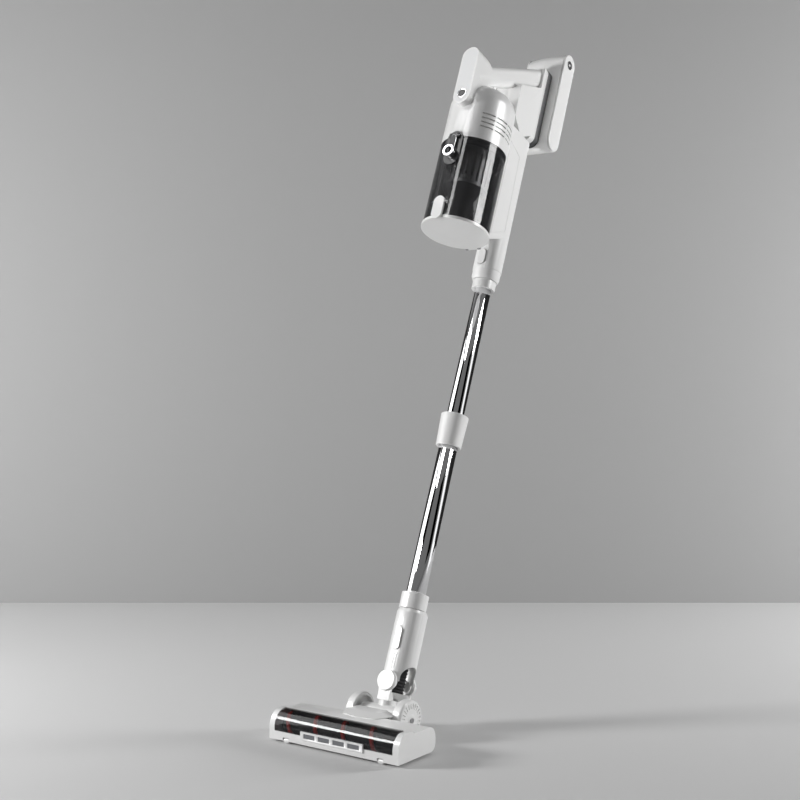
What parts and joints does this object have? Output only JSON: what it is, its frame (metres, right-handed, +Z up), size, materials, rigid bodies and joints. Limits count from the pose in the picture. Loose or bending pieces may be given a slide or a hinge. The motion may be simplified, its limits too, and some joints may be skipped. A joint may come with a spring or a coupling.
{
  "type": "cordless stick vacuum",
  "caption": "Upright battery vacuum with a powered floor head, telescopic wand, see-through dust cup, loop handle and removable battery pack.",
  "frame": {"origin": "on the floor, at the middle of the felt strip under the floor head", "axes": "+Z up, +X to the head's right, the head's front towards -Y and the stick leaning back towards +Y"},
  "size_m": [0.24, 0.668, 1.1361],
  "materials": {
    "white_plastic": "satin",
    "grey_plastic": "satin",
    "dark_plastic": "gloss",
    "smoked_clear": "gloss",
    "chrome_tube": "polished",
    "steel": "brushed",
    "black_rubber": "matte",
    "felt": "matte",
    "bristle": "matte",
    "filter": "matte",
    "lens": "gloss",
    "motor_metal": "satin",
    "board_green": "satin",
    "cell_blue": "satin"
  },
  "bodies": {
    "hand_unit": {"column_shell": "white_plastic", "side_panels": "white_plastic", "handle_shell_right": "white_plastic", "handle_shell_left": "white_plastic", "post_face_plate": "grey_plastic", "trigger_pin": "steel", "control_board": "board_green", "motor_cover": "white_plastic", "suction_motor": "motor_metal", "exhaust_filter": "filter", "battery_gasket": "black_rubber"},
    "power_button": {"power_button": "dark_plastic"},
    "trigger": {"trigger": "white_plastic"},
    "motor_fan": {"motor_fan": "motor_metal"},
    "wand_release_button": {"wand_release_button": "white_plastic"},
    "battery_pack": {"battery_case": "white_plastic", "battery_side_plates": "white_plastic", "battery_cells": "cell_blue"},
    "dust_cup": {"dust_cup": "smoked_clear", "cyclone_screen": "steel", "cyclone_cone": "dark_plastic", "inlet_filter": "filter", "cup_pins": "steel", "cup_latch_plate": "dark_plastic"},
    "cup_lever": {"cup_latch_lever": "chrome_tube"},
    "lid_latch": {"lid_latch": "white_plastic"},
    "bottom_lid": {"bottom_lid": "white_plastic"},
    "upper_wand": {"upper_tube": "chrome_tube", "upper_wand_sleeve": "white_plastic"},
    "lower_wand": {"lower_tube": "chrome_tube", "telescope_bush": "dark_plastic", "lower_wand_sleeve": "white_plastic"},
    "telescope_collar": {"telescope_collar": "white_plastic"},
    "swivel_housing": {"swivel_housing": "white_plastic", "flexible_hose": "black_rubber"},
    "head_release_button": {"head_release_button": "white_plastic"},
    "neck": {"lower_neck": "white_plastic", "swivel_pins": "white_plastic"},
    "floor_head": {"sole_chassis": "white_plastic", "head_cover": "white_plastic", "roller_window": "smoked_clear", "end_cap_right": "white_plastic", "end_cap_left": "white_plastic", "sole_felt_strip": "felt", "led_bar_frame": "chrome_tube", "led_lenses": "lens", "roller_bearings": "steel", "brush_motor": "motor_metal", "drive_belt": "black_rubber", "wheel_axle": "steel", "neck_cradle": "white_plastic", "cradle_cowl": "white_plastic"},
    "rear_wheel_right": {"rear_wheel_right": "white_plastic"},
    "rear_wheel_left": {"rear_wheel_left": "white_plastic"},
    "front_wheel_right": {"front_wheel_right": "white_plastic"},
    "front_wheel_left": {"front_wheel_left": "white_plastic"},
    "brush_roller": {"brush_roller": "dark_plastic", "bristle_spiral": "bristle", "roller_pulley": "dark_plastic"},
    "motor_pulley": {"motor_pulley": "dark_plastic"}
  },
  "joints": [
    {"name": "power_button_press", "type": "slide", "parent": "hand_unit", "child": "power_button", "axis": [0, -0.9272, 0.3746], "range_m": [-0.002, 0], "stiffness_N_per_m": 900, "springref_m": 0.001},
    {"name": "trigger_pull", "type": "hinge", "parent": "hand_unit", "child": "trigger", "pos_m": [0, 0.35009, 1.0501], "axis": [-1, 0, 0], "range_deg": [-7, 0], "stiffness_Nm_per_rad": 0.6, "springref_deg": 5.73},
    {"name": "fan_spin", "type": "hinge", "parent": "hand_unit", "child": "motor_fan", "pos_m": [0, 0.34101, 0.94754], "axis": [0, 0.3746, 0.9272], "continuous": true},
    {"name": "wand_button_press", "type": "slide", "parent": "hand_unit", "child": "wand_release_button", "axis": [0, -0.9272, 0.3746], "range_m": [-0.002, 0], "stiffness_N_per_m": 900, "springref_m": 0.001},
    {"name": "battery_removal", "type": "slide", "parent": "hand_unit", "child": "battery_pack", "axis": [0, 0.9272, -0.3746], "range_m": [0, 0.06]},
    {"name": "cup_removal", "type": "slide", "parent": "hand_unit", "child": "dust_cup", "axis": [0, -0.3746, -0.9272], "range_m": [0, 0.06]},
    {"name": "cup_lever_lift", "type": "hinge", "parent": "dust_cup", "child": "cup_lever", "pos_m": [0, 0.27499, 0.94617], "axis": [1, 0, 0], "range_deg": [-25, 0], "stiffness_Nm_per_rad": 0.02, "springref_deg": 11.46},
    {"name": "lid_latch_turn", "type": "hinge", "parent": "dust_cup", "child": "lid_latch", "pos_m": [0, 0.22994, 0.83279], "axis": [1, 0, 0], "range_deg": [-10, 0], "stiffness_Nm_per_rad": 0.02, "springref_deg": 11.46},
    {"name": "lid_hinge", "type": "hinge", "parent": "dust_cup", "child": "bottom_lid", "pos_m": [0, 0.33191, 0.76484], "axis": [1, 0, 0], "range_deg": [0, 90]},
    {"name": "wand_removal", "type": "slide", "parent": "hand_unit", "child": "upper_wand", "axis": [0, -0.3746, -0.9272], "range_m": [0, 0.06]},
    {"name": "telescope", "type": "slide", "parent": "upper_wand", "child": "lower_wand", "axis": [0, 0.3746, 0.9272], "range_m": [0, 0.2]},
    {"name": "collar_slide", "type": "slide", "parent": "lower_wand", "child": "telescope_collar", "axis": [0, -0.3746, -0.9272], "range_m": [-0.006, 0], "stiffness_N_per_m": 300, "springref_m": 0.004},
    {"name": "head_removal", "type": "slide", "parent": "lower_wand", "child": "swivel_housing", "axis": [0, -0.3746, -0.9272], "range_m": [0, 0.06]},
    {"name": "head_button_press", "type": "slide", "parent": "swivel_housing", "child": "head_release_button", "axis": [0, -0.9272, 0.3746], "range_m": [-0.002, 0], "stiffness_N_per_m": 900, "springref_m": 0.001},
    {"name": "neck_swivel", "type": "hinge", "parent": "swivel_housing", "child": "neck", "pos_m": [0, 0.11031, 0.07222], "axis": [0, 0.9272, -0.3746], "range_deg": [-70, 70]},
    {"name": "head_pitch", "type": "hinge", "parent": "neck", "child": "floor_head", "pos_m": [0, 0.076, 0.03], "axis": [1, 0, 0], "range_deg": [-20, 40]},
    {"name": "rear_wheel_right_spin", "type": "hinge", "parent": "floor_head", "child": "rear_wheel_right", "pos_m": [0.045, 0.076, 0.03], "axis": [1, 0, 0], "continuous": true},
    {"name": "rear_wheel_left_spin", "type": "hinge", "parent": "floor_head", "child": "rear_wheel_left", "pos_m": [-0.045, 0.076, 0.03], "axis": [1, 0, 0], "continuous": true},
    {"name": "front_wheel_right_spin", "type": "hinge", "parent": "floor_head", "child": "front_wheel_right", "pos_m": [0.088, -0.0454, 0.004], "axis": [1, 0, 0], "continuous": true},
    {"name": "front_wheel_left_spin", "type": "hinge", "parent": "floor_head", "child": "front_wheel_left", "pos_m": [-0.088, -0.0454, 0.004], "axis": [1, 0, 0], "continuous": true},
    {"name": "roller_spin", "type": "hinge", "parent": "floor_head", "child": "brush_roller", "pos_m": [0, -0.0255, 0.022], "axis": [1, 0, 0], "continuous": true},
    {"name": "motor_pulley_spin", "type": "hinge", "parent": "floor_head", "child": "motor_pulley", "pos_m": [-0.102, 0.0214, 0.0235], "axis": [1, 0, 0], "continuous": true}
  ],
  "couplings": [
    {"joint": "motor_pulley_spin", "follows": "roller_spin", "ratio": 2.2}
  ]
}
